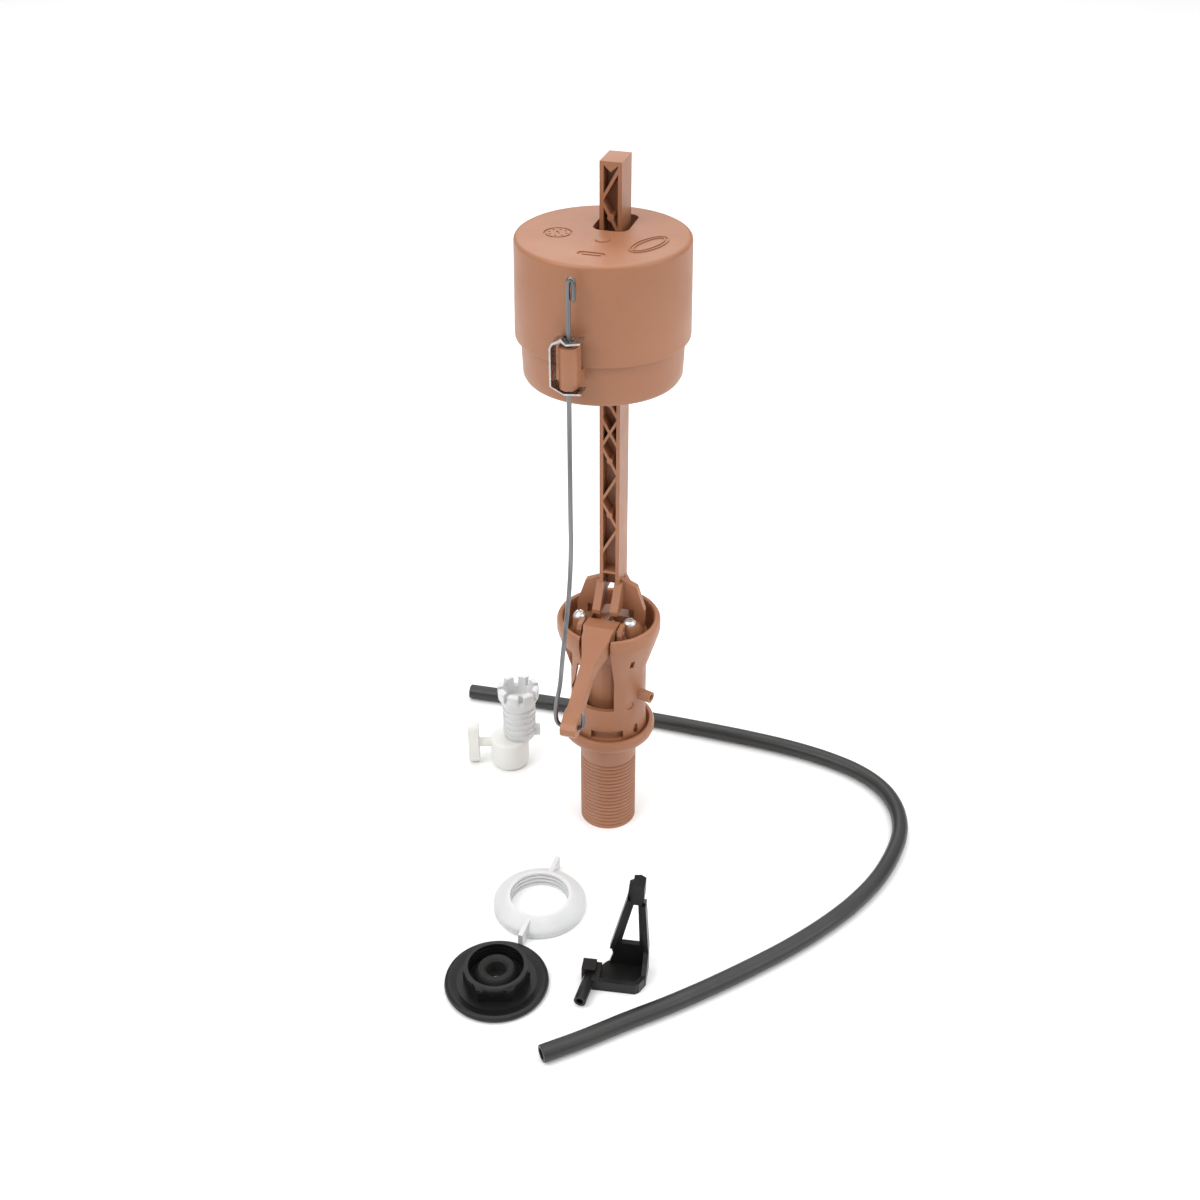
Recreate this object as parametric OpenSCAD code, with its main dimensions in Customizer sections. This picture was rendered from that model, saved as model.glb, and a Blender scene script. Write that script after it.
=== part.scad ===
// Float valve for a toilet cistern, standing on its threaded shank, with its loose fittings laid
// out round it. Origin at the middle of the shank's bottom end, +Z up, lever and link rod at -Y.

/* [Shank and flange] */
// Outside diameter of the threaded shank
shank_d = 22.2; // [21:0.1:24]
// Height of the shank below the flange
shank_h = 44; // [40:1:46]
// Bore of the inlet
inlet_d = 14; // [12:0.5:15]
// Pitch of the shank's thread
thread_pitch = 1.8; // [1.5:0.1:2.2]
// Radius of the flange that seats on the tank floor
flange_r = 18.2; // [17.5:0.1:20]

/* [Body] */
// Outside radius of the body's outer sleeve
sleeve_r = 14.6; // [14.2:0.1:15]
// Outside radius of the inner riser
riser_r = 9; // [8.6:0.1:9.4]
// Outside radius of the crown round the cap
crown_r = 19.7; // [19.2:0.1:20.5]
// Height of the crown's rim
crown_z = 98.5; // [97:0.5:100]
// Half the width of the slot that the lever comes out of
slot_w = 6; // [5.9:0.1:6.4]
// Angle of the refill outlet, from +X towards the front
outlet_turn = 17; // [15:1:25]

/* [Mast] */
// Width of the mast
mast_w = 7.5; // [7:0.1:8.5]
// Depth of the mast, front to back
mast_d = 11.5; // [10:0.5:12]
// Height of the mast's top
mast_z = 271; // [268:1:280]
// Distance of the mast's middle behind the valve's axis
mast_y = 6; // [5:0.5:6.5]
// Height of the lowest end of the zigzag ribs
rib_z = 125; // [124:0.5:127]
// Height that each rib climbs from rail to rail
rib_step = 11.1; // [10.9:0.1:11.4]

/* [Float] */
// Radius of the float's upper shell at its top
float_r = 28.8; // [28:0.1:29]
// Radius of the float's lower cup
cup_r = 27.4; // [27:0.1:27.6]
// Height of the float's top at rest
float_top = 250.2; // [248:0.2:254]
// Height of the step between shell and cup
float_step = 216.8; // [216.4:0.2:218]
// Height of the float's bottom
float_bottom = 201.8; // [200:0.2:204]
// Distance of the float's axis in front of the valve's axis
float_y = 8; // [7.5:0.1:8.2]

/* [Lever and rod] */
// Height of the lever's hinge pin
pivot_z = 97.5; // [97:0.1:98]
// Distance of the hinge pin in front of the axis
pivot_y = 10; // [9.8:0.1:10.2]
// Diameter of the link rod's wire
rod_d = 1.6; // [1.4:0.1:1.8]
// Height of the link rod's top
rod_top = 248.5; // [246:0.5:250]
// Distance of the straight part of the rod in front of the axis
rod_y = 42.2; // [42:0.1:42.4]

/* [Hidden] */

$fn = 72;
tan_plastic = [0.69, 0.49, 0.38];
white_plastic = [0.93, 0.93, 0.91];
black_plastic = [0.13, 0.13, 0.13];
rubber_black = [0.08, 0.08, 0.08];
steel_colour = [0.62, 0.62, 0.63];

eps = 0.02;
shank_r = shank_d / 2;
inlet_r = inlet_d / 2;
thread_root = 0.9;          // depth of the thread
thread_top = 33;            // height where the thread stops
wall = 1.8;                 // sleeve wall
flange_top = 49;
sleeve_top = 76.5;          // where the sleeve starts to flare
flare_top = 93;             // where the flare meets the rim
vent_floor = 52;            // floor of the space between riser and sleeve
bonnet_z = 85;              // underside of the bonnet ring
bonnet_top = 88;
seat_z = 86;
cap_top = 96.6;
cap_r = 13.6;
bonnet_r = 9.5;             // recess in the bonnet that holds the diaphragm and the cap's spigot
outlet_z = 67;
outlet_r = 2.2;             // outside of the refill spigot
inlet_h = 13;               // height of the inlet's plain bore
duct_r = 6.6;               // duct above it

// ---------- small shapes used by several pieces ----------
// A straight extrusion along X of an outline given as [y, z] points, w wide and centred
module side_cut(points, w) {
  rotate([90, 0, 90]) translate([0, 0, -w / 2]) linear_extrude(w) polygon(points);
}
// A straight extrusion along Y, from y0 back to y1, of an outline given as [x, z] points
module front_cut(points, y0, y1) {
  translate([0, y1, 0]) rotate([90, 0, 0]) linear_extrude(y1 - y0) polygon(points);
}
// A ring between two radii
module ring(r_out, r_in, z, h) {
  translate([0, 0, z]) difference() {
    cylinder(r = r_out, h = h);
    translate([0, 0, -1]) cylinder(r = r_in, h = h + 2);
  }
}
// A box with its lowest corner at p
module block(p, size) translate(p) cube(size);

// ---------- bent wire and hose: a round section swept along a smooth line ----------
// The curve through point i and the next one, t from 0 to 1 between them
function spline(p, i, t) = let (
    a = p[max(i - 1, 0)], b = p[i], c = p[i + 1], d = p[min(i + 2, len(p) - 1)])
  0.5 * (2 * b + (c - a) * t + (2 * a - 5 * b + 4 * c - d) * t * t + (3 * b - a - 3 * c + d) * t * t * t);
function smooth_line(p, steps) = concat(
  [for (i = [0 : len(p) - 2], s = [0 : steps - 1]) spline(p, i, s / steps)], [p[len(p) - 1]]);
function unit(v) = v / norm(v);
function heading(p, i) = unit(p[min(i + 1, len(p) - 1)] - p[max(i - 1, 0)]);
// The line must never run along the side vector
module sweep(line, r, sides, side) {
  n = len(line);
  rings = [for (i = [0 : n - 1], k = [0 : sides - 1])
    let (h = heading(line, i), u = unit(cross(h, side)), v = cross(u, h), a = 360 * k / sides)
      line[i] + r * cos(a) * u + r * sin(a) * v];
  skin_faces = [for (i = [0 : n - 2], k = [0 : sides - 1])
    let (j = (k + 1) % sides) [i * sides + k, (i + 1) * sides + k, (i + 1) * sides + j, i * sides + j]];
  ends = [[for (k = [0 : sides - 1]) k], [for (k = [sides - 1 : -1 : 0]) (n - 1) * sides + k]];
  polyhedron(points = rings, faces = concat(skin_faces, ends), convexity = 6);
}

// ---------- valve body: shank, flange, riser, sleeve and crown in one moulding ----------
sleeve_section = [
  [sleeve_r - wall, vent_floor - 4], [flange_r - 3.2, vent_floor - 5.4], [flange_r - 1.9, flange_top + 0.6],
  [flange_r - 0.7, flange_top + 0.7], [flange_r, flange_top - 0.6], [flange_r, 46.6],
  [flange_r - 0.6, 45], [flange_r - 1.8, shank_h], [inlet_r + 1, shank_h], [inlet_r + 1, vent_floor],
  [sleeve_r - wall, vent_floor]];
crown_section = [
  [sleeve_r - wall, vent_floor - 5], [sleeve_r + 0.5, vent_floor - 4], [sleeve_r, vent_floor + 3],
  [sleeve_r, sleeve_top], [crown_r - 0.5, flare_top - 1.6], [crown_r, flare_top + 0.4],
  [crown_r, crown_z - 1.4], [crown_r - 0.5, crown_z - 0.4], [crown_r - 1.3, crown_z],
  [crown_r - 2.1, crown_z - 0.4], [crown_r - 2.5, crown_z - 1.6], [crown_r - 2.6, flare_top - 1],
  [crown_r - 3.6, bonnet_top], [crown_r - 4.6, bonnet_z], [sleeve_r - wall, sleeve_top + 1.2]];

module thread_grooves() {
  for (z = [1.6 : thread_pitch : thread_top])
    rotate_extrude() polygon([[shank_r - thread_root, z], [shank_r + 1, z - 1], [shank_r + 1, z + 1]]);
}
// A vent or slot through the sleeve, turned so that 0 faces the front and 90 faces -X
module sleeve_window(turn, w, z0, z1) {
  rotate([0, 0, -turn]) block([-w / 2, -30, z0], [w, 30 - riser_r - 0.4, z1 - z0]);
}
module body_windows() {
  // slot for the lever, open at the crown's rim
  block([-slot_w, -30, 63], [2 * slot_w, 30 - riser_r - 1.2, 60]);
  // vent beside the lever, wider at the top
  front_cut([[-slot_w - eps, 63], [-12.8, 67], [-10.9, 72], [-9.3, 79], [-7.9, 84.6],
             [-slot_w + 1, 84.6], [-slot_w + 1, 63]], -30, -2.5);
  // opening in the flare beside the post at the left
  rotate([0, 0, 16.5]) block([-17.1, -30, 79.4], [3.3, 28, 10.2]);
  // vent at the back of the left side
  sleeve_window(108, 10, 60, 84.6);
  // water outlets round the foot of the sleeve
  for (a = [-14, 166]) rotate([0, 0, -a]) block([-6.2, -16.4, 49.4], [12.4, 6.8, 3.6]);
  rotate([0, 0, 62]) block([-1.1, -20, 49.2], [2.2, 8, 4.4]);
  // shallow round mark on the right of the sleeve
  rotate([0, 0, -39]) translate([sleeve_r - 0.4, 0, 64]) rotate([0, 90, 0]) cylinder(r = 1.8, h = 4);
  // bayonet notch in the flare
  rotate([0, 0, 47]) block([-0.9, -24, 83.8], [1.8, 8.4, 3.4]);
}
module refill_outlet() {
  rotate([0, 0, -outlet_turn]) translate([0, 0, outlet_z]) rotate([0, 90, 0]) {
    translate([0, 0, 8]) cylinder(r = outlet_r, h = 11.6);
  }
}
module valve_body() color(tan_plastic) difference() {
  union() {
    difference() {
      cylinder(r = shank_r, h = shank_h + 1);
      thread_grooves();
    }
    rotate_extrude() polygon(sleeve_section);
    difference() {
      rotate_extrude() polygon(crown_section);
      body_windows();
    }
    cylinder(r = riser_r, h = bonnet_z);
    ring(crown_r - 4.3, riser_r - 1, bonnet_z, bonnet_top - bonnet_z);
    // refill chamber between riser and sleeve, on the right
    rotate([0, 0, -outlet_turn]) block([7, -4, vent_floor - 1], [6.8, 8, bonnet_z - vent_floor + 1.5]);
    refill_outlet();
    for (s = [-1, 1]) translate([s * 9.8, -5.5, 78.4]) cylinder(r = 2.6, h = bonnet_z - 78.4);
  }
  translate([0, 0, -1]) cylinder(r = inlet_r, h = inlet_h + 1);
  translate([0, 0, inlet_h - 1]) cylinder(r = duct_r, h = 73 - inlet_h);
  translate([0, 0, 71]) cylinder(r = 4.5, h = 12);
  translate([0, 0, seat_z - 4]) cylinder(r = 6.4, h = 10);
  translate([0, 0, bonnet_top - 1.6]) cylinder(r = bonnet_r, h = 10);
  for (s = [-1, 1]) translate([s * 9.8, -5.5, 79.6]) cylinder(r = 1.5, h = 14);
  // refill passage from the riser's chamber to the outlet
  rotate([0, 0, -outlet_turn]) translate([10, 0, outlet_z]) rotate([0, 90, 0]) cylinder(r = 1.3, h = 12);
  // lever slot through the bonnet ring's front edge
  block([-slot_w, -30, bonnet_z - 1], [2 * slot_w, 30 - 13.4, 20]);
}

module inlet_screen() color(white_plastic) translate([0, 0, inlet_h + 1]) difference() {
  union() {
    ring(duct_r - 0.05, 4.2, 0, 2.2);
    ring(5, 4.1, 0, 21);
    translate([0, 0, 20]) cylinder(r = 5, h = 1.2);
  }
  for (z = [4.4 : 3.6 : 17], a = [0 : 60 : 150]) translate([0, 0, z]) rotate([0, 0, a])
    block([-8, -1, 0], [16, 2, 2]);
}

module seat_ring() color(white_plastic) rotate_extrude()
  polygon([[3.2, seat_z - 4 + eps], [6.35, seat_z - 4 + eps], [6.35, seat_z - 0.4], [4.4, seat_z - 0.4],
           [4, seat_z + 0.3], [3.5, seat_z + 0.3], [3.2, seat_z - 0.4]]);

module diaphragm() color(rubber_black) difference() {
  union() {
    translate([0, 0, bonnet_top - 1.55]) cylinder(r = bonnet_r - 0.1, h = 1.2);
    translate([0, 0, bonnet_top - 1.55]) cylinder(r = 5.6, h = 1.3);
  }
  translate([0, -1, 80]) cylinder(r = 0.6, h = 20);
}

// ---------- cap, its seal and its screws ----------
cap_section = [[0, bonnet_top - 0.3], [bonnet_r - 0.1, bonnet_top - 0.3], [bonnet_r - 0.1, bonnet_top + 0.05],
               [cap_r + 1.4, bonnet_top + 0.05], [cap_r + 1.4, bonnet_top + 2.4],
               [cap_r, bonnet_top + 3.2], [cap_r - 0.2, cap_top - 3.6],
               [cap_r - 1.6, cap_top - 1.4], [cap_r - 3.4, cap_top - 0.4], [0, cap_top - 0.4]];
cheek_x = 6.9;
cheek_w = 1.8;
module valve_cap() color(tan_plastic) difference() {
  union() {
    rotate_extrude() polygon(cap_section);
    for (s = [-1, 1]) {
      translate([s * (cheek_x + cheek_w / 2), 0, 0])
        side_cut([[-pivot_y - 3.3, 90], [-pivot_y - 3.3, pivot_z + 1], [-pivot_y - 2.2, pivot_z + 3],
                  [-pivot_y + 2.4, pivot_z + 3], [-pivot_y + 2.4, 90]], cheek_w);
      translate([s * 9.8, -5.5, bonnet_top + 0.1]) cylinder(r = 2.7, h = 11.2);
    }
  }
  // pilot chamber over the diaphragm
  translate([0, 0, bonnet_top - 1]) cylinder(r = 7.5, h = 3.4);
  // guide for the plunger, with room above it for the plunger's head
  translate([0, -1, 88]) cylinder(r = 1.65, h = 12);
  translate([0, -1, 91.5]) cylinder(r = 2.9, h = 6);
  // room for the lever's head and tail
  side_cut([[-20, 91], [-12, 91], [-6, 93.4], [3.4, 93.4], [3.4, 104], [-20, 104]], 2 * slot_w + 1.6);
  // bores for the hinge pin and the screws
  translate([-10, -pivot_y, pivot_z]) rotate([0, 90, 0]) cylinder(r = 1.2, h = 20);
  for (s = [-1, 1]) translate([s * 9.8, -5.5, 80]) cylinder(r = 1.5, h = 30);
  // groove for the cap's seal
  ring(9.1, 8, bonnet_top - 0.4, 1.2);
}

module cap_seal() color(rubber_black) rotate_extrude()
  translate([8.55, bonnet_top + 0.15]) circle(r = 0.48, $fn = 24);

module cap_screws() color(steel_colour)
  for (s = [-1, 1]) translate([s * 9.8, -5.5, 0]) difference() {
    union() {
      translate([0, 0, 80]) cylinder(r = 1.45, h = 21.4);
      translate([0, 0, bonnet_top + 11.32]) rotate_extrude()
        polygon([[0, 0], [2.4, 0], [2.4, 0.7], [2.1, 1.4], [1.4, 1.9], [0, 2.1]]);
    }
    // cross recess
    for (a = [35, 125]) translate([0, 0, bonnet_top + 13.9]) rotate([0, 0, a])
      cube([3, 0.6, 2.2], center = true);
  }

// ---------- mast: a ribbed post on an A-shaped foot ----------
rail_t = 1.35;
web_t = 1.3;
web_z = 109.4;              // where the web ends over the open foot
rail_z = 106;
rib_t = 1.0;
plate_t = 1.4;              // closing plate at the top
cross_rib = 4;              // the rib that a second one crosses
foot_x = 13.2;              // reach of the foot's outer fins
rib_count = ceil((mast_z - rib_z - 2) / rib_step);
// A rib across the recess, its left end at z and its right end higher by rise
module rib(z, rise) {
  x = (mast_w - rail_t) / 2;
  h = rib_t / 2 * norm([1, rise / (2 * x)]);
  front_cut([[-x, z - h], [x, z + rise - h], [x, z + rise + h], [-x, z + h]], -mast_d / 2, mast_d / 2);
}
module zigzag() {
  for (i = [0 : 2 : rib_count - 1]) rib(rib_z + i * rib_step, rib_step);
  for (i = [1 : 2 : rib_count - 1]) {
    rib(rib_z + (i + 1) * rib_step, -rib_step);
    // ejector pad halfway down the rib
    translate([0, mast_d / 2, rib_z + (i + 0.5) * rib_step]) rotate([90, 0, 0]) cylinder(r = 1.1, h = mast_d);
  }
  rib(rib_z + (cross_rib + 1) * rib_step, -rib_step);
}
module mast() color(tan_plastic) {
  translate([0, mast_y, 0]) {
    for (s = [-1, 1]) block([s > 0 ? mast_w / 2 - rail_t : -mast_w / 2, -mast_d / 2, rail_z],
                            [rail_t, mast_d, mast_z - rail_z]);
    x = (mast_w - rail_t) / 2;
    block([-x, -web_t / 2, web_z], [2 * x, web_t, mast_z - plate_t / 2 - web_z]);
    block([-x, -mast_d / 2, mast_z - plate_t], [2 * x, mast_d, plate_t]);
    // cross wall that closes the recess over the foot
    block([-x, -mast_d / 2, 116.6], [2 * x, mast_d, 1]);
    // notch block under the top plate
    front_cut([[-2.6, mast_z - 1], [2.6, mast_z - 1], [0, mast_z - 3.4]], -mast_d / 2, mast_d / 2);
    zigzag();
  }
  for (s = [-1, 1]) {
    // outer fin of the foot
    front_cut([[s * 2.6, 114], [s * 10, 110.6], [s * foot_x, 100.6], [s * foot_x, cap_top - 3.5],
               [s * 9.2, cap_top - 3.5], [s * 9.2, 100.2], [s * 4.4, 100.2], [s * 4.4, 103.6],
               [s * 2.6, 107]], 2.6, 5.2);
    // inner leg that leans forward beside the lever's tail
    translate([s * 3.4, 0, 0])
      side_cut([[0.6, 112.4], [-2.6, 107.6], [-5.6, 103.4], [-5.6, 101.8], [4.8, 101.8], [4.8, 112.4]], 3);
    // back leg, which stands on the cap behind the lever's tail
    front_cut([[s * 2.6, 112], [s * 3.7, 112], [s * 9.4, 101.4], [s * 9.4, cap_top - 0.42],
               [s * 5.6, cap_top - 0.42], [s * 5.6, 101], [s * 2.6, 107.4]], 8.2, 10.4);
    // foot bar between fin and back leg
    block([s > 0 ? 6.8 : -9.3, 4.6, cap_top - 0.42], [2.5, 5, 4.6]);
  }
}

module lever_pin() color(steel_colour)
  translate([-8.8, -pivot_y, pivot_z]) rotate([0, 90, 0]) cylinder(r = 1.15, h = 17.6);

// ---------- lever ----------
eye_y = 49.2;               // middle of the eye, in front of the axis
eye_z = 81.6;
eye_slot = 2.8;             // how far the rod's end shifts along the eye
arm_side = [
  [-6.3, 99.8], [-13.6, 101.2], [-15.4, 100.2], [-30, 93.4], [-42, 87.6], [-47, 85.6], [-51.2, 84.2],
  [-53, 82.6], [-53, 80.2], [-51.6, 78.6], [-48.6, 77.9], [-45.6, 78.6], [-43.2, 80.6], [-30, 87.6],
  [-16, 93.2], [-12.6, 94.6], [-7.6, 94.8], [-4, 95.6], [1, 95.9], [1.6, 96.6], [1.6, 98.2], [-2, 99.3]];
arm_plan = [
  [-6.2, 3], [-6.2, -13], [-5.5, -15.4], [-5.3, -18], [-3.2, -24.5], [-2.6, -29], [-2.6, -44],
  [-2.9, -47], [-2.9, -54], [2.9, -54], [2.9, -47], [2.6, -44], [2.6, -29], [3.2, -24.5], [5.3, -18],
  [5.5, -15.4], [6.2, -13], [6.2, 3]];
module lever() color(tan_plastic) difference() {
  intersection() {
    side_cut(arm_side, 20);
    translate([0, 0, 70]) linear_extrude(40) polygon(arm_plan);
  }
  // hinge bore
  translate([-10, -pivot_y, pivot_z]) rotate([0, 90, 0]) cylinder(r = 1.2, h = 20);
  // the tail is narrower than the head
  for (s = [-1, 1]) block([s > 0 ? 1.5 : -7.5, -5.8, 90], [6, 10, 20]);
  // long eye for the rod's cross end
  for (y = [0, eye_slot]) translate([-5, -eye_y + y, eye_z]) rotate([0, 90, 0]) cylinder(r = 1.05, h = 10);
  block([-5, -eye_y, eye_z - 1.05], [10, eye_slot, 2.1]);
}

// ---------- plunger that the lever's tail presses ----------
module plunger() color(white_plastic) translate([0, -1, 0]) {
  translate([0, 0, 90.6]) cylinder(r = 1.55, h = 4.2);
  translate([0, 0, 93.6]) cylinder(r = 2.5, h = 1.8);
}
module plunger_tip() color(rubber_black) translate([0, -1, 89.9]) cylinder(r = 1.3, h = 0.68);

// ---------- link rod: one piece of bent wire ----------
rod_r = rod_d / 2;
rod_path = [
  [0.5, -rod_y, rod_top - 7.5], [0.7, -rod_y, rod_top - 3], [0.2, -rod_y, rod_top - 0.9],
  [-0.8, -rod_y, rod_top - 0.9],
  [-1.2, -rod_y, rod_top - 3], [-1.2, -rod_y, rod_top - 7], [-1.2, -rod_y, 234], [-1.2, -rod_y, 218],
  [-1.2, -rod_y, 190], [-1.2, -rod_y, 166], [-1.2, -rod_y, 152], [-1.6, -rod_y - 1.6, 135],
  [-2.6, -eye_y + 0.5, 112],
  [-3.6, -eye_y, 100], [-4.9, -eye_y, 92], [-5.4, -eye_y, 87], [-5.2, -eye_y, 83.6], [-4.2, -eye_y, 81.8],
  [-2.4, -eye_y, eye_z], [3, -eye_y, eye_z], [4.3, -eye_y, 82.2], [4.8, -eye_y, 84], [4.9, -eye_y, 88.4]];
module link_rod() color(steel_colour) sweep(smooth_line(rod_path, 3), rod_r, 10, [0, 1, 0]);

// ---------- float: upper shell and lower cup ----------
skin = 1.7;
tunnel_w = 12.2;             // opening round the mast, with rounded corners
tunnel_x = 0.7;             // its middle, to the right of the mast's
tunnel_y0 = -4.6;           // its front and back
tunnel_y1 = 12.9;
tunnel_r = 3.4;
shell_section = [
  [0, float_top], [float_r - 1.4, float_top], [float_r - 0.4, float_top - 0.4], [float_r, float_top - 1.4],
  [float_r + 0.5, float_step + 1.2], [float_r + 0.2, float_step], [cup_r + 0.05, float_step],
  [cup_r, float_step + 3], [float_r - skin, float_step + 3.4], [float_r - skin, float_top - skin],
  [0, float_top - skin]];
cup_section = [
  [0, float_bottom], [cup_r - 2.6, float_bottom], [cup_r - 1.2, float_bottom + 0.5],
  [cup_r - 0.5, float_bottom + 1.8], [cup_r, float_step - 0.5], [cup_r, float_step + 2.9],
  [cup_r - skin, float_step + 2.9],
  [cup_r - skin - 0.5, float_bottom + 1.9], [cup_r - 3, float_bottom + skin], [0, float_bottom + skin]];
// The opening round the mast, grown by extra all round
module tunnel(extra, z0, z1) {
  w = tunnel_w / 2 - tunnel_r;
  r = tunnel_r + extra;
  y0 = tunnel_y0 + tunnel_r;
  y1 = tunnel_y1 - tunnel_r;
  translate([tunnel_x, 0, z0]) {
    block([-w - r, y0, 0], [2 * (w + r), y1 - y0, z1 - z0]);
    block([-w, y0 - r, 0], [2 * w, y1 - y0 + 2 * r, z1 - z0]);
    for (x = [-w, w], y = [y0, y1]) translate([x, y, 0]) cylinder(r = r, h = z1 - z0);
  }
}
boss_z0 = 212;
boss_z1 = 226;
boss_x = -1.2;
module float_shell() color(tan_plastic) difference() {
  translate([0, -float_y, 0]) {
    rotate_extrude($fn = 120) polygon(shell_section);
    // raised dot on the top
    translate([1.2, -5, float_top - 0.5]) cylinder(r = 2.4, h = 0.9);
  }
  tunnel(0, float_bottom - 1, float_top + 1);
  // shallow round and oblong recesses beside it
  translate([-14.4, -float_y - 2.6, float_top - 0.5]) cylinder(r = 4.8, h = 1);
  block([-3.2, -float_y - 19.4, float_top - 0.5], [9, 3.2, 1]);
}
module float_cup() color(tan_plastic) {
  difference() {
    union() {
      translate([0, -float_y, 0]) rotate_extrude($fn = 120) polygon(cup_section);
      tunnel(1.5, float_bottom, float_top - skin - 0.05);
    }
    tunnel(0, float_bottom - 1, float_top + 1);
  }
  // boss that the adjusting clip sits on, with the rod's guide hole
  difference() {
    union() {
      translate([boss_x, -rod_y - 0.3, boss_z0]) cylinder(r = 3, h = boss_z1 - boss_z0);
      block([boss_x - 3, -rod_y - 0.3, boss_z0], [6, 4.2, boss_z1 - boss_z0]);
      block([boss_x - 3, -rod_y - 0.3, boss_z0], [6, 8.4, 4.4]);
    }
    translate([boss_x, -rod_y, boss_z0 - 1]) cylinder(r = rod_r + 0.35, h = 20);
  }
}

// ---------- adjusting clip: a bent strip of spring steel that grips the rod ----------
clip_t = 0.6;
clip_x = boss_x - 5.6;
clip_d = 5.6;
clip_hole = rod_r + 0.3;
module adjust_clip() color(steel_colour) difference() {
  front_cut([
    [clip_x, boss_z0 + 0.6], [clip_x, boss_z1 - 0.2], [clip_x + 0.8, boss_z1 + 1.4],
    [boss_x - 1.6, boss_z1 + 3.2],
    [boss_x, boss_z1 + 1.6], [boss_x + 4.6, boss_z1 + 2.5], [boss_x + 4.6, boss_z1 + 2.5 - clip_t],
    [boss_x, boss_z1 + 1.6 - clip_t], [boss_x - 1.7, boss_z1 + 3.2 - 1.1], [clip_x + 1.2, boss_z1 + 0.8],
    [clip_x + clip_t, boss_z1 - 0.4], [clip_x + clip_t, boss_z0 + 0.8], [boss_x - 1, boss_z0 - 1.2],
    [boss_x + 4.8, boss_z0 - 0.6], [boss_x + 4.8, boss_z0 - 0.6 - clip_t],
    [boss_x - 0.8, boss_z0 - 1.2 - clip_t]],
    -rod_y - clip_d / 2, -rod_y + clip_d / 2);
  // long holes for the rod in both leaves
  for (s = [-1, 1]) translate([boss_x + s * 0.8, -rod_y, boss_z0 - 4]) cylinder(r = clip_hole, h = 30);
  block([boss_x - 0.8, -rod_y - clip_hole, boss_z0 - 4], [1.6, 2 * clip_hole, 30]);
}

// ---------- loose fittings laid round the valve ----------
nut_at = [-12.4, -101.8, 0];
module coupling_nut() color(black_plastic) translate(nut_at) difference() {
  union() {
    rotate_extrude() polygon([
      [0, 0], [17.6, 0], [18.6, 0.5], [19, 1.4], [18.7, 2.5], [17.6, 2.9], [14.6, 2.2], [0, 2.2]]);
    rotate([0, 0, 16.5]) cylinder(r = 12.2, h = 6.6, $fn = 6);
    translate([0, 0, 6]) cylinder(r = 11.4, h = 3.8);
  }
  translate([0, 0, 3.4]) cylinder(r = 10.1, h = 10);
  translate([0, 0, -1]) cylinder(r = 3.6, h = 10);
  for (z = [4.6 : 1.6 : 8.8]) ring(10.5, 9, z, 0.7);
}
module cone_washer() color(rubber_black) translate(nut_at) rotate_extrude()
  polygon([[3.6, 3.42], [8.4, 3.42], [8.4, 4.6], [6.8, 7.8], [6.3, 8.4], [4.4, 8.4], [3.6, 7.6]]);

lock_at = [-9.8, -60.2, 0];
lock_wing_turn = -0.5;
module lock_nut() color(white_plastic) translate(lock_at) difference() {
  union() {
    rotate_extrude() polygon([
      [0, 0], [17.2, 0], [17.7, 0.6], [17.7, 2.8], [17.2, 3.5], [13.8, 5.8], [12.6, 6.4], [0, 6.4]]);
    for (a = [0, 180]) rotate([0, 0, a + lock_wing_turn]) block([-0.9, 12, 0], [1.8, 10.2, 6]);
  }
  translate([0, 0, -1]) cylinder(r = 11.25, h = 10);
  for (z = [1.1 : thread_pitch : 6]) ring(11.8, 10, z, 0.8);
}

clip_at = [38.4, -92.4, 0];
clip_turn = 8;
// Local axes: X to the right, Y to the back, origin at the front right corner
module refill_clip() color(black_plastic) translate(clip_at) rotate([0, 0, clip_turn]) difference() {
  union() {
    // tray
    linear_extrude(1.8)
      polygon([[0, 1], [-1.4, 0], [-20, 0], [-20, 9], [-16, 9.4], [-13, 13.2], [2, 14], [2, 5]]);
    linear_extrude(4.6)
      polygon([[0, 1], [-1.4, 0], [-20, 0], [-20, 1.8], [-1.8, 1.8], [0.2, 5], [0.2, 14], [2, 14], [2, 5]]);
    // right wall rises to the back
    translate([1.1, 0, 0]) side_cut([[4, 4], [8.6, 6.8], [12.6, 10.6], [14, 10.6], [14, 0], [5, 0]], 1.8);
    // back wall
    front_cut([[-13, 0], [2, 0], [2, 10.8], [-12.2, 10.8], [-11, 7]], 12.2, 14);
    // left end that the tube springs from
    block([-20, 0, 0], [5.4, 9, 5]);
    block([-21.4, 3.4, 1], [5, 5.4, 5.6]);
    // A-shaped spring arms with a catch on top
    front_cut([[-12.2, 10.4], [2, 10.4], [0.6, 33], [-1.6, 36.4], [-1.2, 42.4], [-3.4, 43.6],
               [-5.4, 42.4], [-6, 36]], 12.2, 14.2);
    front_cut([[-3.6, 34.4], [-0.8, 34.4], [0.2, 37], [0.2, 42.6], [-1.6, 43.8], [-4, 43.4]], 10.2, 16);
    // stiffening rib down each arm
    front_cut([[-12.2, 10.4], [-10.4, 10.4], [-4.9, 35], [-6, 36]], 11, 15.2);
    front_cut([[0.4, 10.4], [2, 10.4], [0.6, 33], [-1, 33]], 11, 15.2);
    translate([-18.4, 3, 3.2]) rotate([90, 0, -8]) cylinder(r = 2.2, h = 12);
  }
  // the opening between the arms
  front_cut([[-8.2, 12.6], [-1.4, 12.6], [-2.2, 33.6], [-3.4, 34]], 8, 18);
  translate([-18.4, 3, 3.2]) rotate([90, 0, -8]) translate([0, 0, -2]) cylinder(r = 1.3, h = 20);
}

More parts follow.
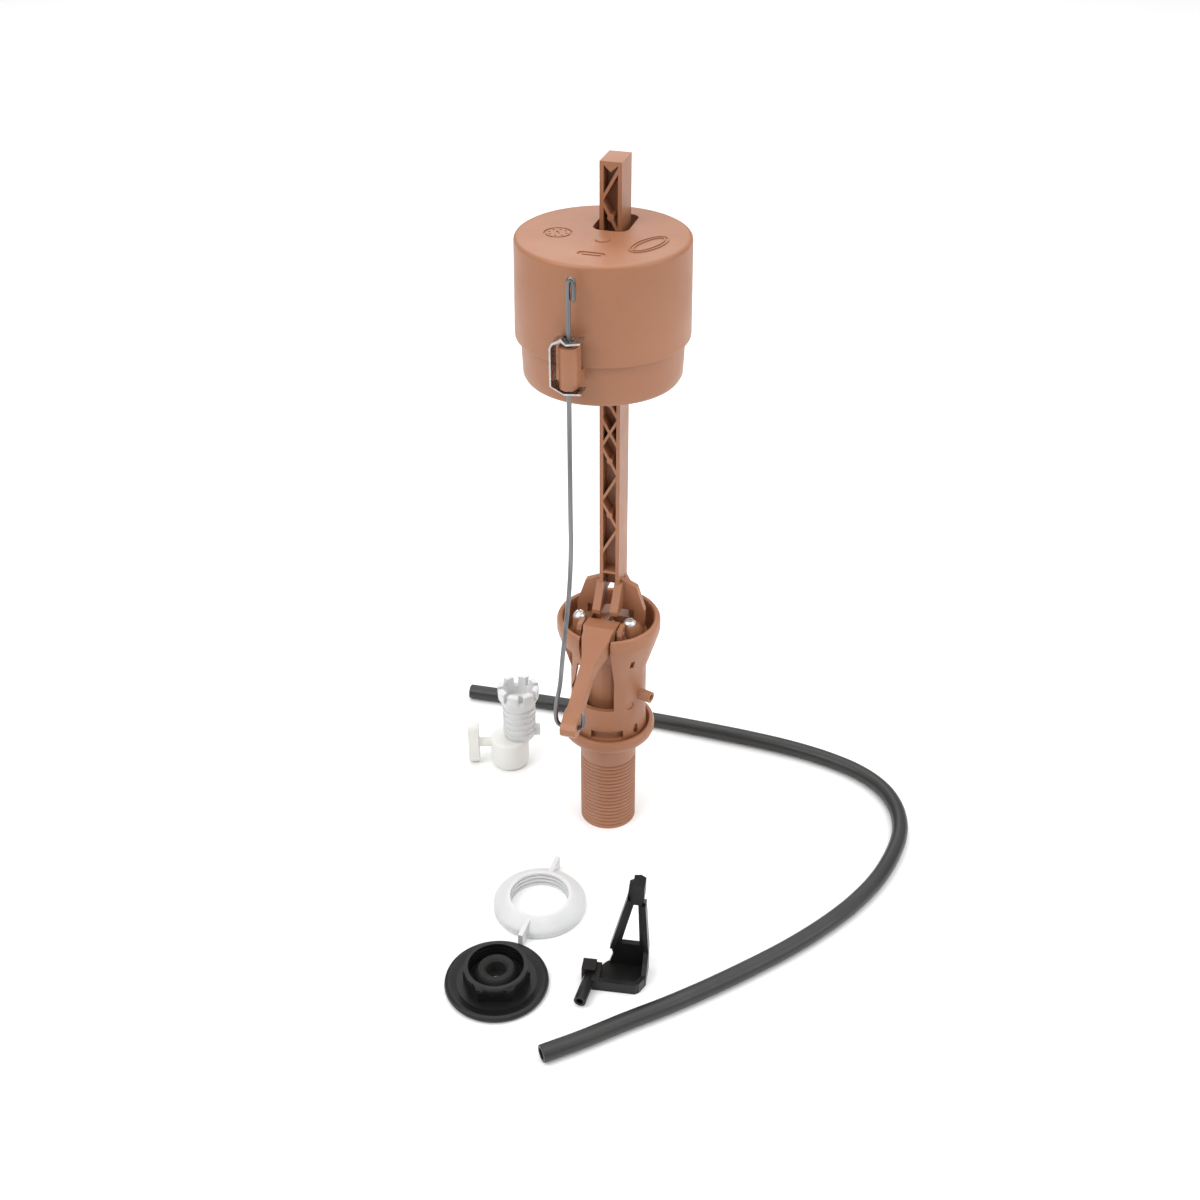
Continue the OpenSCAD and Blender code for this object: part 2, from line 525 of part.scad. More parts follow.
// ---------- refill regulator: cup, ribbed barrel and turn handle ----------
reg_at = [-49.5, 19, 0];
reg_turn = 16.5;
barrel_x = 4.3;
barrel_y = 2;
spigot_at = [2.9, 1.2, 5];
stem_z = 10.6;
stem_r = 2;
module regulator_body() color(white_plastic) translate(reg_at) rotate([0, 0, reg_turn]) difference() {
  rotate_extrude() polygon([
    [0, 0], [6.2, 0], [7.4, 0.8], [8, 2.4], [8.2, 12.6], [7.9, 13.4], [7, 13.6], [0, 13.6]]);
  translate(spigot_at) cylinder(r = 4, h = 20);
  translate([-12, 0, stem_z]) rotate([0, 90, 0]) cylinder(r = stem_r + 0.08, h = 8.4);
}
module regulator_barrel() color(white_plastic) translate(reg_at) rotate([0, 0, reg_turn]) {
  difference() {
    translate(spigot_at + [0, 0, 0.05]) cylinder(r = 3.95, h = 9);
    translate(spigot_at - [0, 0, 1]) cylinder(r = 2.6, h = 8.6);
  }
  translate([barrel_x, barrel_y, 0]) difference() {
    union() {
      translate([0, 0, 13.65]) cylinder(r = 6.5, h = 18);
      for (z = [15.4 : 3 : 28]) translate([0, 0, z]) cylinder(r = 7, h = 1.2);
      translate([0, 0, 29]) rotate_extrude()
        polygon([[0, 0], [6.2, 0], [8.6, 4.8], [8.8, 9.4], [8.2, 9.8], [0, 9.8]]);
      block([5.4, -1.2, 13.65], [3.4, 2.4, 4.6]);
    }
    translate([0, 0, 16]) cylinder(r = 3.2, h = 40);
    translate([0, 0, 31]) cylinder(r = 6.4, h = 20);
    for (a = [0 : 45 : 315]) rotate([0, 0, a + 10]) block([4, -1, 34.4], [8, 2, 8]);
  }
}
// axis of the handle's stem, along the fitting's own -X
module along_stem(x) {
  translate(reg_at) rotate([0, 0, reg_turn]) translate([x, 0, stem_z]) rotate([0, 90, 0]) children();
}
module regulator_handle() color(white_plastic) difference() {
  union() {
    along_stem(-14.6) cylinder(r = stem_r, h = 10.8);
    along_stem(-17.6) linear_extrude(4.4) {
      square([14.6, 5.4], center = true);
      for (s = [-1, 1]) translate([s * 7.3, 0]) circle(r = 2.7);
    }
  }
  along_stem(-5.7) ring(stem_r + 1, 1.6, 0, 0.6);
}
module regulator_seal() color(rubber_black) along_stem(-5.4) rotate_extrude()
  translate([1.84, 0]) circle(r = 0.22, $fn = 20);

// ---------- refill hose ----------
hose_r = 3.2;
hose_z = 3.3;
hose_route = [
  [14, -130], [26, -119.5], [38, -108], [50, -97], [62, -85], [74, -72], [86, -58], [97, -43],
  [106, -28], [113, -12], [117, 4], [118, 18], [115, 31], [108, 42], [97, 50], [83, 55],
  [67, 58], [50, 59.5], [30, 60.2], [10, 60.4], [-10, 60.2], [-32, 59.6], [-55, 58.6], [-82, 57]];
module refill_hose() color(rubber_black)
  sweep(smooth_line([for (p = hose_route) [p[0], p[1], hose_z]], 2), hose_r, 10, [0, 0, 1]);

valve_body();
inlet_screen();
seat_ring();
diaphragm();
valve_cap();
cap_seal();
cap_screws();
mast();
lever_pin();
lever();
plunger();
plunger_tip();
link_rod();
float_shell();
float_cup();
adjust_clip();
coupling_nut();
cone_washer();
lock_nut();
refill_clip();
regulator_body();
regulator_barrel();
regulator_handle();
regulator_seal();
refill_hose();
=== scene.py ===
import bpy
import bmesh
import math
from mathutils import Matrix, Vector


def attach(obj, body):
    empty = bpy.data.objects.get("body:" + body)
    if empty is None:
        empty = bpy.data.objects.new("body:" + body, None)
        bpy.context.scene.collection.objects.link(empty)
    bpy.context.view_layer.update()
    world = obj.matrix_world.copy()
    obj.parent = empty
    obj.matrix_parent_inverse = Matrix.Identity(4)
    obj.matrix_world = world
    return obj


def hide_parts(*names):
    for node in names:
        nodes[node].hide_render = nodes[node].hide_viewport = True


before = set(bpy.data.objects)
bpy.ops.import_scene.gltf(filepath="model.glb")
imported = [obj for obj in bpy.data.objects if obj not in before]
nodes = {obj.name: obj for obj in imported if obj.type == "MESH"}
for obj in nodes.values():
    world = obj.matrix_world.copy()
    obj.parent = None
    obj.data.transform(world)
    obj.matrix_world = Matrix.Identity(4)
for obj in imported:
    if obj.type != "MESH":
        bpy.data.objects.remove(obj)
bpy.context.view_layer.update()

scene = bpy.context.scene
print("model loaded,", len(nodes), "parts")

mm = 0.001


# camera
cameraSetup = {"place": (0.1308, -0.4533, 0.4172), "turnDeg": (56.5, 0, 16.5), "lens": 45}


def addCamera(setup):
    data = bpy.data.cameras.new("benchCamera")
    data.lens = setup["lens"]
    data.sensor_width = 36
    cam = bpy.data.objects.new("benchCamera", data)
    cam.location = setup["place"]
    cam.rotation_euler = [math.radians(a) for a in setup["turnDeg"]]
    scene.collection.objects.link(cam)
    scene.camera = cam


addCamera(cameraSetup)
print("camera set")


# mesh helpers
def newObject(name, mesh, material, body, smoothDeg=35):
    obj = bpy.data.objects.new(name, mesh)
    scene.collection.objects.link(obj)
    mesh.materials.clear()
    mesh.materials.append(material)
    mesh.shade_smooth()
    mesh.set_sharp_from_angle(angle=math.radians(smoothDeg))
    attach(obj, body)
    return obj


def meshFrom(name, verts, faces):
    # verts are in millimetres
    mesh = bpy.data.meshes.new(name)
    mesh.from_pydata([(x * mm, y * mm, z * mm) for x, y, z in verts], [], faces)
    bm = bmesh.new()
    bm.from_mesh(mesh)
    bmesh.ops.recalc_face_normals(bm, faces=bm.faces)
    bm.to_mesh(mesh)
    bm.free()
    return mesh


def softCorners(points, steps=4):
    # each point is (r, z, fillet); the corner is replaced with a short curve
    out = []
    for i, (x, y, f) in enumerate(points):
        if f == 0:
            out.append((x, y))
            continue
        p = Vector((x, y))
        a = Vector(points[i - 1][:2]) - p
        b = Vector(points[(i + 1) % len(points)][:2]) - p
        a = p + a.normalized() * f
        b = p + b.normalized() * f
        for k in range(steps + 1):
            t = k / steps
            q = (1 - t) ** 2 * a + 2 * t * (1 - t) * p + t * t * b
            out.append((q.x, q.y))
    return out


def turned(name, profile, segments=96, centre=(0, 0)):
    # a closed outline of (r, z) turned round a vertical axis
    verts = []
    rings = []
    for r, z in profile:
        if r < 1e-6:
            rings.append([len(verts)] * segments)
            verts.append((centre[0], centre[1], z))
        else:
            rings.append(list(range(len(verts), len(verts) + segments)))
            for k in range(segments):
                a = 2 * math.pi * k / segments
                verts.append((centre[0] + r * math.cos(a), centre[1] + r * math.sin(a), z))
    faces = []
    for i, ring in enumerate(rings):
        nextRing = rings[(i + 1) % len(rings)]
        for k in range(segments):
            j = (k + 1) % segments
            corners = list(dict.fromkeys([ring[k], ring[j], nextRing[j], nextRing[k]]))
            if len(corners) > 2:
                faces.append(corners)
    return meshFrom(name, verts, faces)


def smoothLine(points, steps):
    # Catmull-Rom curve through the points
    out = []
    for i in range(len(points) - 1):
        a = Vector(points[max(i - 1, 0)])
        b = Vector(points[i])
        c = Vector(points[i + 1])
        d = Vector(points[min(i + 2, len(points) - 1)])
        for s in range(steps):
            t = s / steps
            out.append(0.5 * (2 * b + (c - a) * t + (2 * a - 5 * b + 4 * c - d) * t * t
                              + (3 * b - a - 3 * c + d) * t ** 3))
    out.append(Vector(points[-1]))
    return out


def lineFrames(line):
    # a heading and a side vector at each point, carried along without twist
    frames = []
    side = None
    for i, p in enumerate(line):
        heading = (line[min(i + 1, len(line) - 1)] - line[max(i - 1, 0)]).normalized()
        if side is None:
            side = heading.orthogonal()
        side = (side - heading * side.dot(heading)).normalized()
        frames.append((p, side.copy(), heading.cross(side)))
    return frames


def tube(name, rings, sides, closed):
    # rings are (centre, side, up, radius); closed joins the last ring to the first
    verts = []
    for p, u, v, r in rings:
        for k in range(sides):
            a = 2 * math.pi * k / sides
            verts.append(tuple(p + u * (r * math.cos(a)) + v * (r * math.sin(a))))
    faces = []
    count = len(rings)
    for i in range(count if closed else count - 1):
        for k in range(sides):
            j = (k + 1) % sides
            n = (i + 1) % count
            faces.append([i * sides + k, i * sides + j, n * sides + j, n * sides + k])
    if not closed:
        faces.append(list(range(sides)))
        faces.append([(count - 1) * sides + k for k in range(sides)])
    return meshFrom(name, verts, faces)


def prism(name, outline, z0, z1):
    # an upright block over an outline of (x, y)
    n = len(outline)
    verts = [(x, y, z0) for x, y in outline] + [(x, y, z1) for x, y in outline]
    faces = [list(range(n)), list(range(n, 2 * n))]
    faces += [[k, (k + 1) % n, n + (k + 1) % n, n + k] for k in range(n)]
    return meshFrom(name, verts, faces)


def roundBox(cx, cy, w, d, r, steps=6):
    # outline of a rectangle with round corners
    out = []
    for sx, sy, start in ((1, 1, 0), (-1, 1, 90), (-1, -1, 180), (1, -1, 270)):
        for k in range(steps + 1):
            a = math.radians(start + 90 * k / steps)
            out.append((cx + sx * (w / 2 - r) + r * math.cos(a), cy + sy * (d / 2 - r) + r * math.sin(a)))
    return out


def circle(cx, cy, r, steps=40):
    return [(cx + r * math.cos(2 * math.pi * k / steps), cy + r * math.sin(2 * math.pi * k / steps))
            for k in range(steps)]


def combine(obj, tool, operation):
    # cuts a mesh out of a piece, or joins it on
    cutter = bpy.data.objects.new("tool", tool)
    scene.collection.objects.link(cutter)
    step = obj.modifiers.new("shape", "BOOLEAN")
    step.operation = operation
    step.solver = "EXACT"
    step.object = cutter
    applyAll(obj)
    bpy.data.objects.remove(cutter)


def applyAll(obj):
    graph = bpy.context.evaluated_depsgraph_get()
    mesh = bpy.data.meshes.new_from_object(obj.evaluated_get(graph))
    obj.modifiers.clear()
    obj.data = mesh


def softenEdges(obj, width, angleDeg=32, segments=2):
    # small moulded radius on every sharp edge
    weld = obj.modifiers.new("weld", "WELD")
    weld.merge_threshold = 0.000004
    step = obj.modifiers.new("edges", "BEVEL")
    step.width = width * mm
    step.segments = segments
    step.limit_method = "ANGLE"
    step.angle_limit = math.radians(angleDeg)
    step.use_clamp_overlap = True
    step.harden_normals = True


# materials
def nodeMaterial(name):
    material = bpy.data.materials.new(name)
    material.use_nodes = True
    tree = material.node_tree
    shader = tree.nodes["Principled BSDF"]
    place = tree.nodes.new("ShaderNodeTexCoord")
    return material, tree, shader, place


def noise(tree, place, scale, detail=3.0, stretch=(1, 1, 1)):
    mapping = tree.nodes.new("ShaderNodeMapping")
    mapping.inputs["Scale"].default_value = stretch
    tree.links.new(place.outputs["Object"], mapping.inputs["Vector"])
    node = tree.nodes.new("ShaderNodeTexNoise")
    node.inputs["Scale"].default_value = scale
    node.inputs["Detail"].default_value = detail
    tree.links.new(mapping.outputs["Vector"], node.inputs["Vector"])
    return node


def rangeOf(tree, source, low, high):
    node = tree.nodes.new("ShaderNodeMapRange")
    node.inputs["From Min"].default_value = 0.3
    node.inputs["From Max"].default_value = 0.7
    node.inputs["To Min"].default_value = low
    node.inputs["To Max"].default_value = high
    tree.links.new(source, node.inputs["Value"])
    return node.outputs["Result"]


def mouldedPlastic(name, look):
    material, tree, shader, place = nodeMaterial(name)
    cloud = noise(tree, place, look["cloudScale"], 4)
    ramp = tree.nodes.new("ShaderNodeValToRGB")
    ramp.color_ramp.elements[0].position = 0.32
    ramp.color_ramp.elements[0].color = (*look["dark"], 1)
    ramp.color_ramp.elements[1].position = 0.68
    ramp.color_ramp.elements[1].color = (*look["light"], 1)
    tree.links.new(cloud.outputs["Fac"], ramp.inputs["Fac"])
    # faint dust of paler grain in the colour
    grain = noise(tree, place, look["grainScale"], 2)
    mix = tree.nodes.new("ShaderNodeMix")
    mix.data_type = "RGBA"
    mix.blend_type = "MULTIPLY"
    mix.inputs["Factor"].default_value = look["grain"]
    tree.links.new(ramp.outputs["Color"], mix.inputs["A"])
    tree.links.new(grain.outputs["Color"], mix.inputs["B"])
    tree.links.new(mix.outputs["Result"], shader.inputs["Base Color"])
    rough = noise(tree, place, look["cloudScale"] * 3, 3)
    tree.links.new(rangeOf(tree, rough.outputs["Fac"], *look["roughness"]), shader.inputs["Roughness"])
    # flow ripple of the moulding and fine grain
    ripple = noise(tree, place, look["rippleScale"], 2, look["rippleStretch"])
    bumpWide = tree.nodes.new("ShaderNodeBump")
    bumpWide.inputs["Strength"].default_value = look["ripple"]
    bumpWide.inputs["Distance"].default_value = 0.0004
    tree.links.new(ripple.outputs["Fac"], bumpWide.inputs["Height"])
    bumpFine = tree.nodes.new("ShaderNodeBump")
    bumpFine.inputs["Strength"].default_value = look["grainBump"]
    bumpFine.inputs["Distance"].default_value = 0.00005
    tree.links.new(grain.outputs["Fac"], bumpFine.inputs["Height"])
    tree.links.new(bumpWide.outputs["Normal"], bumpFine.inputs["Normal"])
    tree.links.new(bumpFine.outputs["Normal"], shader.inputs["Normal"])
    shader.inputs["IOR"].default_value = look["ior"]
    shader.inputs["Specular IOR Level"].default_value = look["shine"]
    shader.inputs["Subsurface Weight"].default_value = look["milk"]
    shader.inputs["Subsurface Radius"].default_value = (0.002, 0.0015, 0.001)
    shader.inputs["Transmission Weight"].default_value = look["clear"]
    return material


def drawnSteel(name, look):
    material, tree, shader, place = nodeMaterial(name)
    streak = noise(tree, place, 900, 3, look["stretch"])
    ramp = tree.nodes.new("ShaderNodeValToRGB")
    ramp.color_ramp.elements[0].position = 0.3
    ramp.color_ramp.elements[0].color = (*look["dark"], 1)
    ramp.color_ramp.elements[1].position = 0.7
    ramp.color_ramp.elements[1].color = (*look["light"], 1)
    tree.links.new(streak.outputs["Fac"], ramp.inputs["Fac"])
    tree.links.new(ramp.outputs["Color"], shader.inputs["Base Color"])
    tree.links.new(rangeOf(tree, streak.outputs["Fac"], *look["roughness"]), shader.inputs["Roughness"])
    bump = tree.nodes.new("ShaderNodeBump")
    bump.inputs["Strength"].default_value = 0.12
    bump.inputs["Distance"].default_value = 0.00003
    tree.links.new(streak.outputs["Fac"], bump.inputs["Height"])
    tree.links.new(bump.outputs["Normal"], shader.inputs["Normal"])
    shader.inputs["Metallic"].default_value = 1.0
    return material


copperTan = mouldedPlastic("copperTan", {
    "dark": (0.312, 0.130, 0.064), "light": (0.358, 0.151, 0.075), "cloudScale": 26,
    "grainScale": 1500, "grain": 0.06, "grainBump": 0.25, "roughness": (0.36, 0.46),
    "rippleScale": 160, "rippleStretch": (1, 1, 0.25), "ripple": 0.06, "ior": 1.48,
    "milk": 0.0, "clear": 0.0, "shine": 0.5})
warmWhite = mouldedPlastic("warmWhite", {
    "dark": (0.72, 0.72, 0.68), "light": (0.77, 0.77, 0.73), "cloudScale": 60,
    "grainScale": 1800, "grain": 0.03, "grainBump": 0.2, "roughness": (0.38, 0.48),
    "rippleScale": 260, "rippleStretch": (1, 1, 0.4), "ripple": 0.06, "ior": 1.5,
    "milk": 0.12, "clear": 0.0, "shine": 0.4})
milkyNylon = mouldedPlastic("milkyNylon", {
    "dark": (0.74, 0.745, 0.75), "light": (0.80, 0.805, 0.81), "cloudScale": 70,
    "grainScale": 1800, "grain": 0.02, "grainBump": 0.2, "roughness": (0.36, 0.46),
    "rippleScale": 300, "rippleStretch": (1, 1, 0.4), "ripple": 0.1, "ior": 1.5,
    "milk": 0.25, "clear": 0.22, "shine": 0.4})
satinBlack = mouldedPlastic("satinBlack", {
    "dark": (0.005, 0.005, 0.0048), "light": (0.009, 0.009, 0.0088), "cloudScale": 60,
    "grainScale": 1600, "grain": 0.1, "grainBump": 0.3, "roughness": (0.27, 0.38),
    "rippleScale": 240, "rippleStretch": (1, 1, 1), "ripple": 0.1, "ior": 1.5,
    "milk": 0.0, "clear": 0.0, "shine": 0.3})
hoseVinyl = mouldedPlastic("hoseVinyl", {
    "dark": (0.014, 0.014, 0.0135), "light": (0.022, 0.022, 0.021), "cloudScale": 40,
    "grainScale": 1400, "grain": 0.1, "grainBump": 0.35, "roughness": (0.32, 0.44),
    "rippleScale": 120, "rippleStretch": (1, 1, 1), "ripple": 0.12, "ior": 1.5,
    "milk": 0.0, "clear": 0.0, "shine": 0.5})
sealRubber = mouldedPlastic("sealRubber", {
    "dark": (0.010, 0.010, 0.010), "light": (0.018, 0.018, 0.017), "cloudScale": 90,
    "grainScale": 1200, "grain": 0.15, "grainBump": 0.6, "roughness": (0.6, 0.75),
    "rippleScale": 300, "rippleStretch": (1, 1, 1), "ripple": 0.2, "ior": 1.45,
    "milk": 0.0, "clear": 0.0, "shine": 0.3})
wireSteel = drawnSteel("wireSteel", {
    "dark": (0.11, 0.11, 0.113), "light": (0.24, 0.24, 0.244), "stretch": (1, 1, 0.04),
    "roughness": (0.24, 0.4)})
brightSteel = drawnSteel("brightSteel", {
    "dark": (0.62, 0.62, 0.61), "light": (0.78, 0.78, 0.76), "stretch": (1, 0.2, 1),
    "roughness": (0.36, 0.5)})
clipSteel = drawnSteel("clipSteel", {
    "dark": (0.36, 0.355, 0.35), "light": (0.55, 0.545, 0.54), "stretch": (1, 0.2, 1),
    "roughness": (0.2, 0.34)})
print("materials made")


# refill hose
hose = {
    "route": [
        (14, -130), (26, -119.5), (38, -108), (50, -97), (62, -85), (74, -72), (86, -58), (97, -43),
        (106, -28), (113, -12), (117, 4), (118, 18), (115, 31), (108, 42), (97, 50), (83, 55),
        (67, 58), (50, 59.5), (30, 60.2), (10, 60.4), (-10, 60.2), (-32, 59.6), (-55, 58.6), (-82, 57)],
    "height": 3.3, "outer": 3.2, "bore": 2.15, "sides": 36, "steps": 5, "length": 0.408}


def addHose(h):
    line = smoothLine([(x, y, h["height"]) for x, y in h["route"]], h["steps"])
    frames = lineFrames(line)
    chamfer = 0.25
    rings = [(*frames[0], h["outer"] - chamfer)]
    first = line[1] - line[0]
    rings += [(frames[0][0] + first.normalized() * chamfer, *frames[0][1:], h["outer"])]
    rings += [(*f, h["outer"]) for f in frames[1:-1]]
    last = line[-2] - line[-1]
    rings += [(frames[-1][0] + last.normalized() * chamfer, *frames[-1][1:], h["outer"])]
    rings += [(*frames[-1], h["outer"] - chamfer)]
    rings += [(*f, h["bore"]) for f in reversed(frames)]
    obj = newObject("refillHoseTube", tube("refillHoseTube", rings, h["sides"], True), hoseVinyl, "valve")
    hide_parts("refill_hose")


addHose(hose)
print("hose laid")


# table and lights
def addStage():
    size = 8
    mesh = bpy.data.meshes.new("tableTop")
    corners = [(-size, -size, 0), (size, -size, 0), (size, size, 0), (-size, size, 0)]
    mesh.from_pydata(corners, [], [(0, 1, 2, 3)])
    material, tree, shader, place = nodeMaterial("paleTable")
    cloud = noise(tree, place, 3, 3)
    ramp = tree.nodes.new("ShaderNodeValToRGB")
    ramp.color_ramp.elements[0].color = (0.90, 0.90, 0.90, 1)
    ramp.color_ramp.elements[1].color = (0.93, 0.93, 0.93, 1)
    tree.links.new(cloud.outputs["Fac"], ramp.inputs["Fac"])
    tree.links.new(ramp.outputs["Color"], shader.inputs["Base Color"])
    shader.inputs["Roughness"].default_value = 0.9
    mesh.materials.append(material)
    table = bpy.data.objects.new("tableTop", mesh)
    scene.collection.objects.link(table)


lights = {
    "keyPanel": {"place": (-0.75, -0.95, 1.25), "aim": (0, 0, 0.12), "size": 0.9, "power": 11},
    "topPanel": {"place": (0.1, 0.25, 1.5), "aim": (0, 0, 0.1), "size": 1.6, "power": 10},
    "backPanel": {"place": (-0.55, 1.35, 1.05), "aim": (0, 0, 0.25), "size": 0.8, "power": 2.5},
    "sidePanel": {"place": (1.2, -0.2, 0.7), "aim": (0, 0, 0.12), "size": 0.9, "power": 5}}


roomLight = {"horizon": 0.26, "overhead": 1.08}


def addLights():
    for name, spec in lights.items():
        data = bpy.data.lights.new(name, "AREA")
        data.shape = "SQUARE"
        data.size = spec["size"]
        data.energy = spec["power"]
        lamp = bpy.data.objects.new(name, data)
        lamp.location = spec["place"]
        aim = Vector(spec["aim"]) - lamp.location
        lamp.rotation_euler = aim.to_track_quat("-Z", "Y").to_euler()
        scene.collection.objects.link(lamp)
    world = bpy.data.worlds.new("paleRoom")
    world.use_nodes = True
    tree = world.node_tree
    place = tree.nodes.new("ShaderNodeTexCoord")
    split = tree.nodes.new("ShaderNodeSeparateXYZ")
    fade = tree.nodes.new("ShaderNodeMapRange")
    fade.inputs["From Max"].default_value = 0.9
    fade.inputs["To Min"].default_value = roomLight["horizon"]
    fade.inputs["To Max"].default_value = roomLight["overhead"]
    tree.links.new(place.outputs["Generated"], split.inputs["Vector"])
    tree.links.new(split.outputs["Z"], fade.inputs["Value"])
    tree.nodes["Background"].inputs["Color"].default_value = (1, 1, 1, 1)
    tree.links.new(fade.outputs["Result"], tree.nodes["Background"].inputs["Strength"])
    scene.world = world
    scene.view_settings.view_transform = "Standard"


addStage()
addLights()
print("table and lights set")


# float shell
floatShell = {
    "centre": (0, -8), "top": 250.2, "step": 216.8, "radius": 28.8, "skin": 1.7, "cupRadius": 27.4,
    "hole": (0.7, 4.15, 12.2, 17.5, 3.4),
    "dot": {"place": (1.2, -13), "radius": 2.4, "rise": 0.4},
    "dial": {"place": (-14.4, -10.6), "outer": 4.7, "inner": 3.9, "depth": 0.35,
             "ticks": 8, "tickRing": 2.9, "tickRadius": 0.42, "tickDepth": 0.3},
    "bar": {"place": (1.3, -25.8), "size": (9, 3.2), "depth": 0.4},
    "badge": {"place": (16.5, -13.0), "size": (8.2, 17.5), "turnDeg": -24, "rim": 0.9, "rise": 0.35}}


def oval(cx, cy, w, d, turnDeg, steps=64):
    a = math.radians(turnDeg)
    out = []
    for k in range(steps):
        t = 2 * math.pi * k / steps
        x = w / 2 * math.cos(t)
        y = d / 2 * math.sin(t)
        out.append((cx + x * math.cos(a) - y * math.sin(a), cy + x * math.sin(a) + y * math.cos(a)))
    return out


def ringPrism(name, outer, inner, z0, z1):
    # an upright wall between two outlines with the same number of points
    n = len(outer)
    verts = [(x, y, z0) for x, y in outer] + [(x, y, z1) for x, y in outer]
    verts += [(x, y, z0) for x, y in inner] + [(x, y, z1) for x, y in inner]
    faces = []
    for k in range(n):
        j = (k + 1) % n
        faces += [[k, j, n + j, n + k], [2 * n + k, 2 * n + j, 3 * n + j, 3 * n + k]]
        faces += [[k, j, 2 * n + j, 2 * n + k], [n + k, n + j, 3 * n + j, 3 * n + k]]
    return meshFrom(name, verts, faces)


def addFloatShell(s):
    top = s["top"]
    r = s["radius"]
    step = s["step"]
    profile = softCorners([
        (0, top, 0), (r, top, 1.5), (r + 0.5, step + 1.2, 0), (r + 0.45, step, 0.3),
        (s["cupRadius"] + 0.05, step, 0), (s["cupRadius"], step + 3, 0), (r - s["skin"], step + 3.4, 0.2),
        (r - s["skin"], top - s["skin"], 0.8), (0, top - s["skin"], 0)])
    obj = newObject("floatShell", turned("floatShell", profile, 144, s["centre"]), copperTan, "float")
    dot = s["dot"]
    stud = turned("stud", softCorners([(0, top + dot["rise"], 0), (dot["radius"], top + dot["rise"], 0.2),
                                       (dot["radius"], top - 0.6, 0), (0, top - 0.6, 0)]), 40, dot["place"])
    combine(obj, stud, "UNION")
    badge = s["badge"]
    w, d = badge["size"]
    for inset in (0, 2.6):
        outer = oval(*badge["place"], w - inset, d - inset, badge["turnDeg"])
        inner = oval(*badge["place"], w - inset - badge["rim"], d - inset - badge["rim"], badge["turnDeg"])
        combine(obj, ringPrism("badge", outer, inner, top - 0.5, top + badge["rise"]), "UNION")
    combine(obj, prism("hole", roundBox(*s["hole"]), step - 5, top + 5), "DIFFERENCE")
    dial = s["dial"]
    outer = circle(*dial["place"], dial["outer"], 48)
    inner = circle(*dial["place"], dial["inner"], 48)
    ring = ringPrism("dial", outer, inner, top - dial["depth"], top + 1)
    combine(obj, ring, "DIFFERENCE")
    # maker's dial: a short pointer and eight ticks inside the ring
    cx, cy = dial["place"]
    tickFloor = top - dial["tickDepth"]
    for k in range(dial["ticks"]):
        a = 2 * math.pi * k / dial["ticks"]
        x = cx + dial["tickRing"] * math.cos(a)
        y = cy + dial["tickRing"] * math.sin(a)
        combine(obj, prism("tick", circle(x, y, dial["tickRadius"], 12), tickFloor, top + 1), "DIFFERENCE")
    combine(obj, prism("pointer", oval(cx, cy, 0.9, 3.2, 30, 24), tickFloor, top + 1), "DIFFERENCE")
    bar = s["bar"]
    pocket = roundBox(*bar["place"], *bar["size"], 1.4)
    combine(obj, prism("bar", pocket, top - bar["depth"], top + 1), "DIFFERENCE")
    rib = roundBox(*bar["place"], bar["size"][0] - 3, 0.9, 0.4)
    combine(obj, prism("barRib", rib, top - 0.6, top - 0.05), "UNION")
    obj.data.shade_smooth()
    obj.data.set_sharp_from_angle(angle=math.radians(35))
    softenEdges(obj, 0.12, 40, 2)
    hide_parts("float_shell")


addFloatShell(floatShell)
print("float shell made")


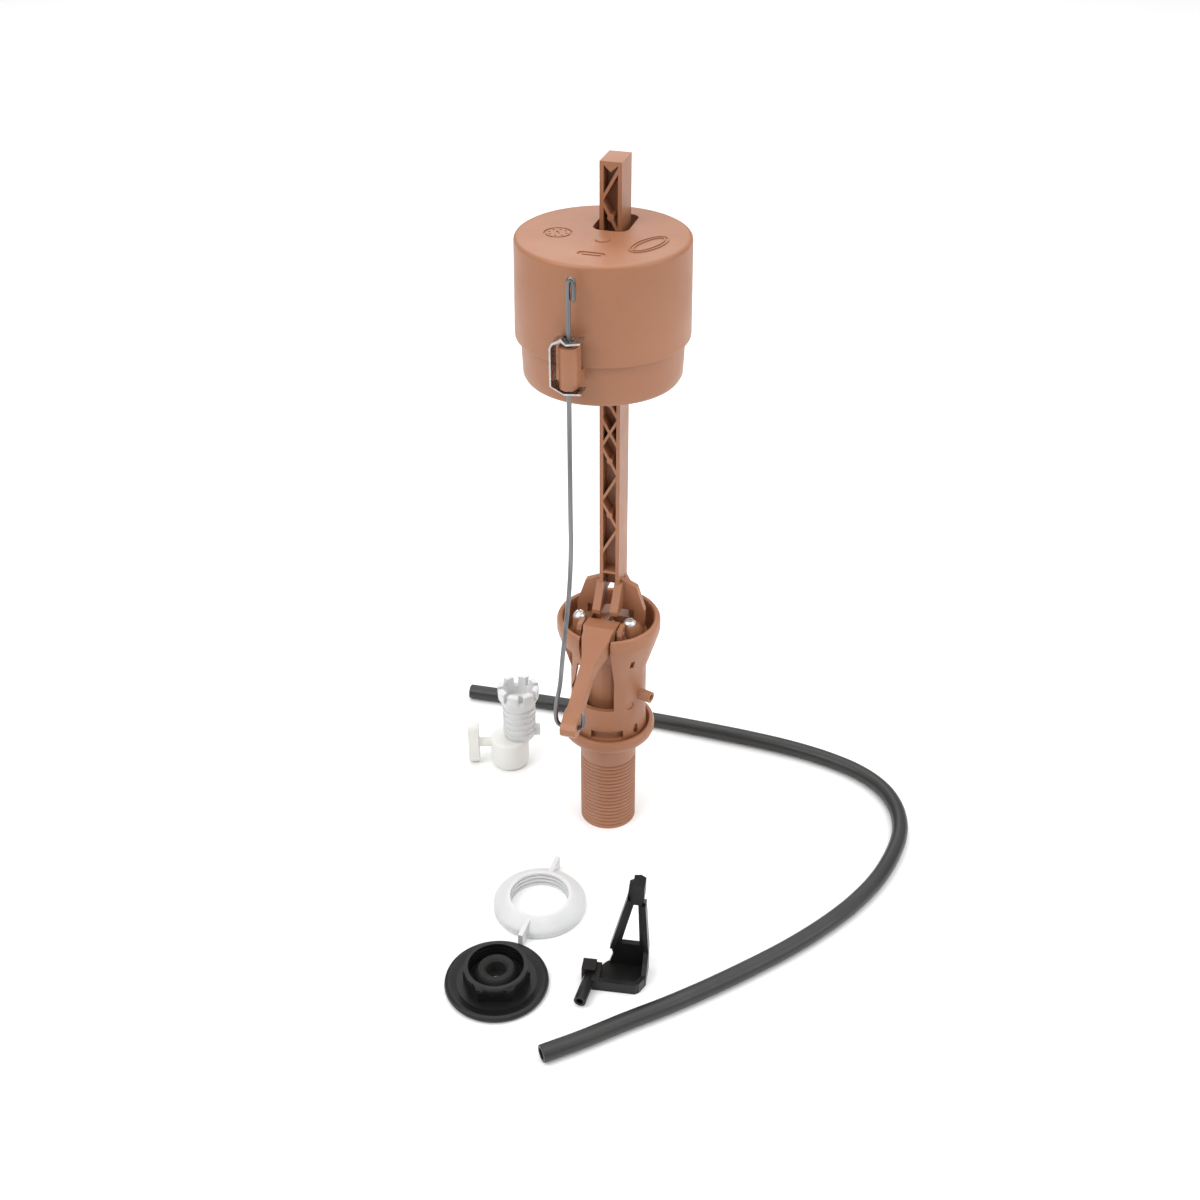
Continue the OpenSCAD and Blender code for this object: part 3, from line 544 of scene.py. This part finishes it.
# link rod
linkWire = {
    "radius": 0.8, "sides": 24, "steps": 10,
    "path": [
        (0.5, -42.2, 241), (0.7, -42.2, 245.5), (0.2, -42.2, 247.6), (-0.8, -42.2, 247.6),
        (-1.2, -42.2, 245.5),
        (-1.2, -42.2, 241.5), (-1.2, -42.2, 234), (-1.2, -42.2, 218), (-1.2, -42.2, 190),
        (-1.2, -42.2, 166),
        (-1.2, -42.2, 152), (-1.6, -43.8, 135), (-2.6, -48.7, 112), (-3.6, -49.2, 100), (-4.9, -49.2, 92),
        (-5.4, -49.2, 87), (-5.2, -49.2, 83.6), (-4.2, -49.2, 81.8), (-2.4, -49.2, 81.6), (3, -49.2, 81.6),
        (4.3, -49.2, 82.2), (4.8, -49.2, 84), (4.9, -49.2, 88.4)]}


def addLinkWire(w):
    line = smoothLine(w["path"], w["steps"])
    frames = lineFrames(line)
    r = w["radius"]
    nose = 0.25
    first = (line[1] - line[0]).normalized() * nose
    last = (line[-2] - line[-1]).normalized() * nose
    rings = [(*frames[0], r - nose), (frames[0][0] + first, *frames[0][1:], r)]
    rings += [(*f, r) for f in frames[1:-1]]
    rings += [(frames[-1][0] + last, *frames[-1][1:], r), (*frames[-1], r - nose)]
    obj = newObject("linkWire", tube("linkWire", rings, w["sides"], False), wireSteel, "rod")
    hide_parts("link_rod")


addLinkWire(linkWire)
print("link wire bent")


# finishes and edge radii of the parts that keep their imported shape
finishes = {
    "valve_body": copperTan, "valve_cap": copperTan, "mast": copperTan, "lever": copperTan,
    "float_shell": copperTan, "float_cup": copperTan, "inlet_screen": warmWhite, "seat_ring": warmWhite,
    "plunger": warmWhite, "plunger_tip": sealRubber, "diaphragm": sealRubber, "cap_seal": sealRubber,
    "regulator_seal": sealRubber, "cone_washer": sealRubber, "cap_screws": brightSteel,
    "lever_pin": brightSteel, "adjust_clip": clipSteel, "link_rod": wireSteel, "lock_nut": milkyNylon,
    "regulator_barrel": milkyNylon, "regulator_body": warmWhite, "regulator_handle": warmWhite,
    "coupling_nut": satinBlack, "refill_clip": satinBlack, "refill_hose": hoseVinyl}
for name, finish in finishes.items():
    nodes[name].data.materials.clear()
    nodes[name].data.materials.append(finish)

edgeRadius = {
    "valve_body": 0.25, "valve_cap": 0.25, "mast": 0.22, "lever": 0.4, "coupling_nut": 0.3,
    "lock_nut": 0.3, "refill_clip": 0.25, "regulator_body": 0.25, "regulator_barrel": 0.15,
    "float_cup": 0.25,
    "regulator_handle": 0.4, "adjust_clip": 0.1, "cap_screws": 0.12}
for name, radius in edgeRadius.items():
    softenEdges(nodes[name], radius)
print("finishes on the packed parts")
